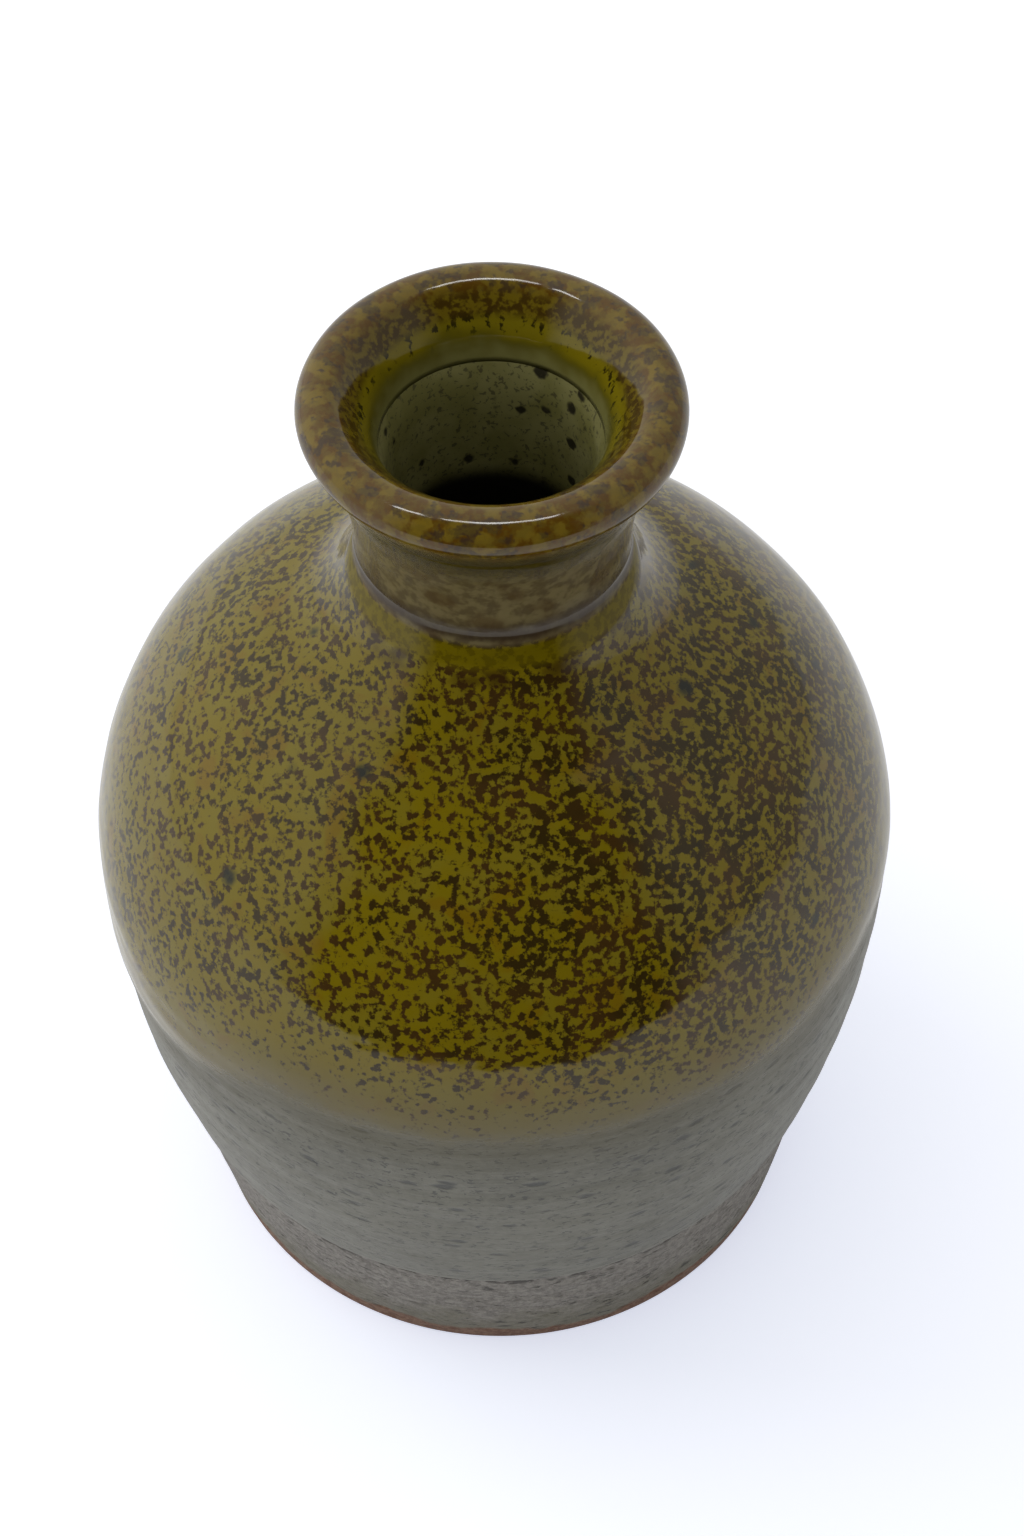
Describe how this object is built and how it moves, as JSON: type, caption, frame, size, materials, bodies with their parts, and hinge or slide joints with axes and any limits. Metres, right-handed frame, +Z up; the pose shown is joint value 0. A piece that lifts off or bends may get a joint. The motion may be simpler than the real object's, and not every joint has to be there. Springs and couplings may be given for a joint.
{
  "type": "bud vase",
  "caption": "Wheel-thrown stoneware bud vase: round body on a turned foot, narrow waisted neck and rolled lip, with a grey-green glaze under a speckled olive one.",
  "frame": {"origin": "on the vase's axis, in the plane that the foot ring stands on", "axes": "+Z up along the axis, from the foot to the lip; the vase is a body of revolution, so +X and +Y are free"},
  "size_m": [0.0998, 0.0998, 0.1397],
  "materials": {
    "stoneware": "bare toasted stoneware with a dry mauve-grey wash, iron specks and small torn pits",
    "liner_glaze": "satin grey-green glaze with dark iron spots",
    "base_glaze": "satin grey-green glaze with fine turning lines and sparse blue-grey specks",
    "over_glaze": "glossy olive glaze, densely mottled with brown and black iron specks, amber on the lip"
  },
  "bodies": {
    "root": {"stoneware_body": "stoneware", "liner_glaze": "liner_glaze", "base_glaze": "base_glaze", "over_glaze": "over_glaze"}
  },
  "joints": []
}
